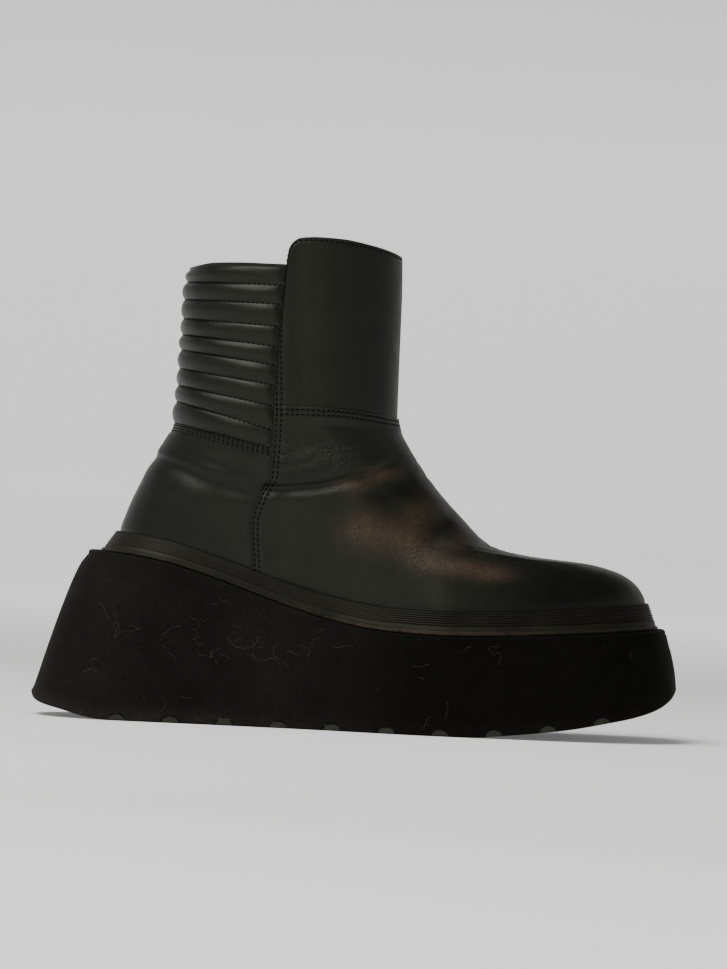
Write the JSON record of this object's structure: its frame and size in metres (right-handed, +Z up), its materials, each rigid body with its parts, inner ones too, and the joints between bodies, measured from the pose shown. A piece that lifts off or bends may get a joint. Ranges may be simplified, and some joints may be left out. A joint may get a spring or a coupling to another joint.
{
  "type": "platform boot",
  "caption": "Short black leather boot for the right foot, with a quilted shaft back, an inside zip, a ridged welt and a thick flared platform with toe spring.",
  "frame": {"origin": "on the floor, under the middle of the boot's box", "axes": "+X from heel to toe, +Y towards the inside of the foot (the wearer's left), +Z up"},
  "size_m": [0.3016, 0.1206, 0.228],
  "materials": {
    "platform_rubber": "dull moulded, lightly scuffed and dusty",
    "welt_rubber": "satin, ridged",
    "leather": "smooth calf, soft sheen, creased by wear",
    "lining_leather": "matt lining",
    "thread": "waxed thread",
    "insole_cloth": "matt, worn at heel and ball",
    "zip_tape_cloth": "woven tape",
    "zip_teeth": "moulded coil",
    "zip_metal": "dark lacquered metal, worn at the edges"
  },
  "bodies": {
    "boot": {"outsole": "platform_rubber", "welt": "welt_rubber", "upper": "leather", "insole": "insole_cloth", "zip_tape": "zip_tape_cloth", "zip_slider": "zip_metal"},
    "pull": {"zip_pull": "zip_metal"}
  },
  "joints": [
    {"name": "pull_hinge", "type": "hinge", "parent": "boot", "child": "pull", "pos_m": [-0.0425, 0.04082, 0.202], "axis": [1, 0, 0], "range_deg": [-5, 172]}
  ]
}
